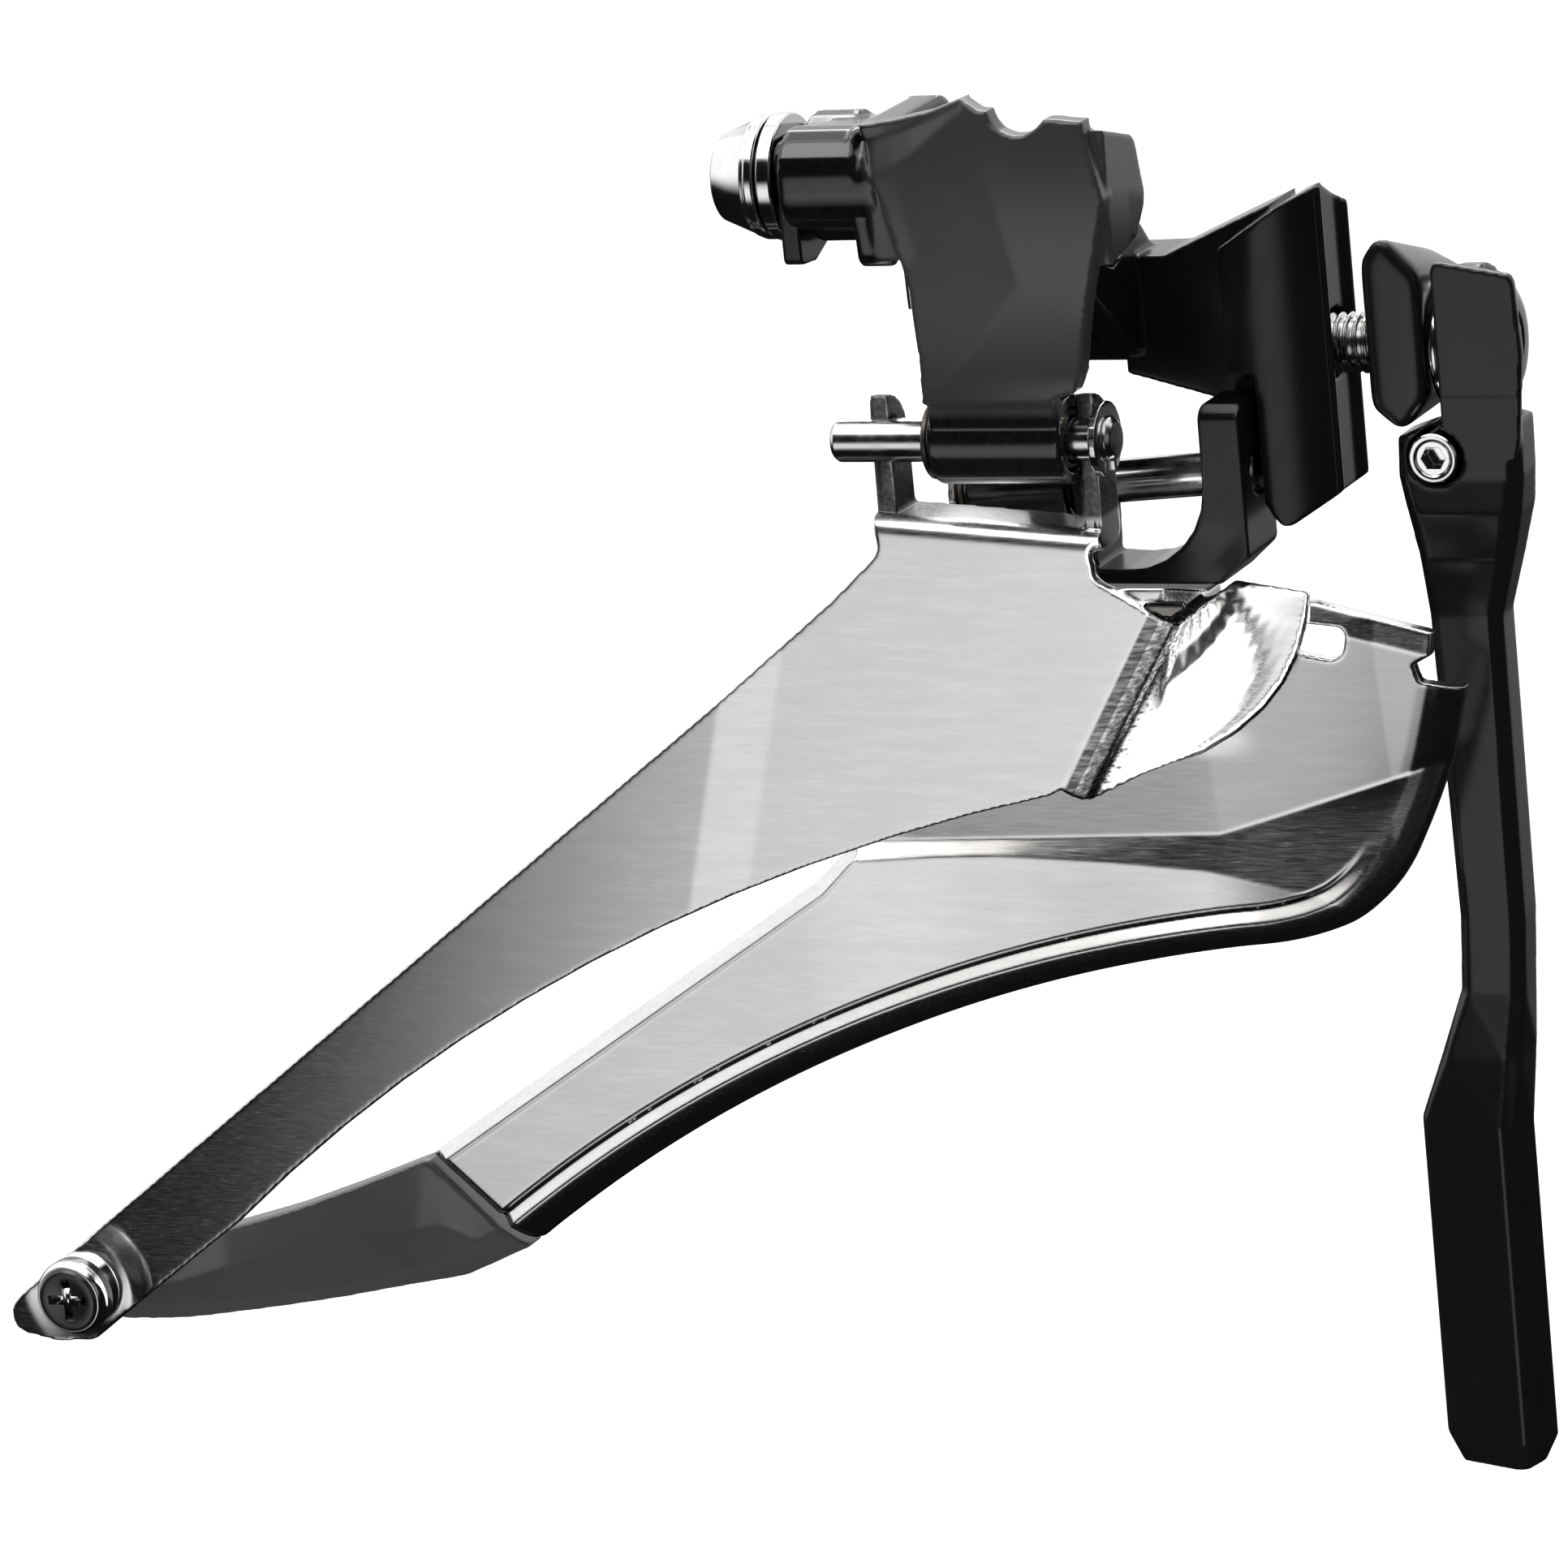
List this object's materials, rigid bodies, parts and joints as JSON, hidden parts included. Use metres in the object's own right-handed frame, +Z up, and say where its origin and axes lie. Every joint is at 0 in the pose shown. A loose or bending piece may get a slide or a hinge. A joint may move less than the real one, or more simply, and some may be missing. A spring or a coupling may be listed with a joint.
{
  "type": "front derailleur",
  "caption": "Bottom-pull front derailleur for a brazed-on tab: sprung parallel linkage, brushed steel chain cage and an adjustable chain catcher.",
  "frame": {"origin": "where the mounting bolt's axis meets the saddle", "axes": "+X to the front of the bicycle along the mounting bolt, +Y inboard towards the frame, +Z up along the saddle"},
  "size_m": [0.1399, 0.0316, 0.118],
  "materials": {
    "body_alloy": "forged alloy, satin black anodised",
    "link_alloy": "forged alloy, dark grey satin anodised",
    "gloss_black": "black anodised, semi-gloss",
    "black_bolt": "black oxide steel",
    "black_bracket": "black painted pressed steel",
    "dark_guide": "dark grey moulded polymer, satin",
    "brushed_cage": "brushed and polished steel sheet",
    "pin_steel": "ground steel",
    "chrome_fastener": "bright plated steel",
    "bronze_bush": "plain bronze"
  },
  "bodies": {
    "mount_body": {"body": "body_alloy", "mounting_bolt": "black_bolt", "catcher_base": "gloss_black", "catcher_washer": "chrome_fastener", "outer_upper_bush": "bronze_bush", "inner_upper_pin": "pin_steel", "return_spring": "pin_steel"},
    "outer_link": {"outer_link": "link_alloy", "outer_upper_pin": "pin_steel", "cable_anchor_bolt": "chrome_fastener", "anchor_washer": "chrome_fastener", "cable_clamp_plate": "black_bracket", "outer_lower_bush_front": "bronze_bush", "outer_lower_bush_rear": "bronze_bush"},
    "inner_link": {"inner_link": "link_alloy", "inner_upper_bush": "bronze_bush", "inner_lower_bush": "bronze_bush"},
    "cage": {"outer_plate": "brushed_cage", "inner_plate": "brushed_cage", "tail_guide": "dark_guide", "tail_screw": "black_bolt", "tail_washer": "chrome_fastener", "cage_bracket": "black_bracket", "bridge_rivet_front": "pin_steel", "bridge_rivet_rear": "pin_steel", "outer_lower_pin": "pin_steel", "outer_lower_clip": "pin_steel", "inner_lower_pin": "pin_steel", "inner_lower_clip": "pin_steel"},
    "catcher": {"catcher_arm": "gloss_black"},
    "catcher_screw": {"catcher_screw": "chrome_fastener"},
    "low_limit_screw": {"low_limit_screw": "chrome_fastener"},
    "high_limit_screw": {"high_limit_screw": "chrome_fastener"}
  },
  "joints": [
    {"name": "outer_link_swing", "type": "hinge", "parent": "mount_body", "child": "outer_link", "pos_m": [-0.02, -0.0185, 0.0158], "axis": [-1, 0, 0], "range_deg": [0, 27], "stiffness_Nm_per_rad": 0.6, "springref_deg": -34.38, "deforming": ["return_spring"]},
    {"name": "cage_pivot", "type": "hinge", "parent": "outer_link", "child": "cage", "pos_m": [-0.02, -0.018, -0.0034], "axis": [-1, 0, 0], "range_deg": [-27, 0]},
    {"name": "inner_link_swing", "type": "hinge", "parent": "mount_body", "child": "inner_link", "pos_m": [-0.02084, -0.0065, 0.00929], "axis": [-0.9972, 0, -0.075], "range_deg": [0, 27]},
    {"name": "catcher_swing", "type": "hinge", "parent": "mount_body", "child": "catcher", "pos_m": [0, 0, 0], "axis": [1, 0, 0], "range_deg": [-2, 6]},
    {"name": "catcher_screw_turn", "type": "hinge", "parent": "catcher", "child": "catcher_screw", "pos_m": [0.0096, -0.004, -0.0078], "axis": [0, 1, 0], "range_deg": [-90, 270]},
    {"name": "low_limit_screw_turn", "type": "hinge", "parent": "mount_body", "child": "low_limit_screw", "pos_m": [-0.0226, -0.0105, 0.017], "axis": [0, 0, 1], "range_deg": [-360, 360]},
    {"name": "high_limit_screw_turn", "type": "hinge", "parent": "mount_body", "child": "high_limit_screw", "pos_m": [-0.0174, -0.0105, 0.017], "axis": [0, 0, 1], "range_deg": [-360, 360]}
  ],
  "couplings": [
    {"joint": "cage_pivot", "follows": "outer_link_swing", "ratio": -1},
    {"joint": "inner_link_swing", "follows": "outer_link_swing", "ratio": 1},
    {"joint": "catcher_screw_turn", "follows": "catcher_swing", "ratio": 45}
  ]
}
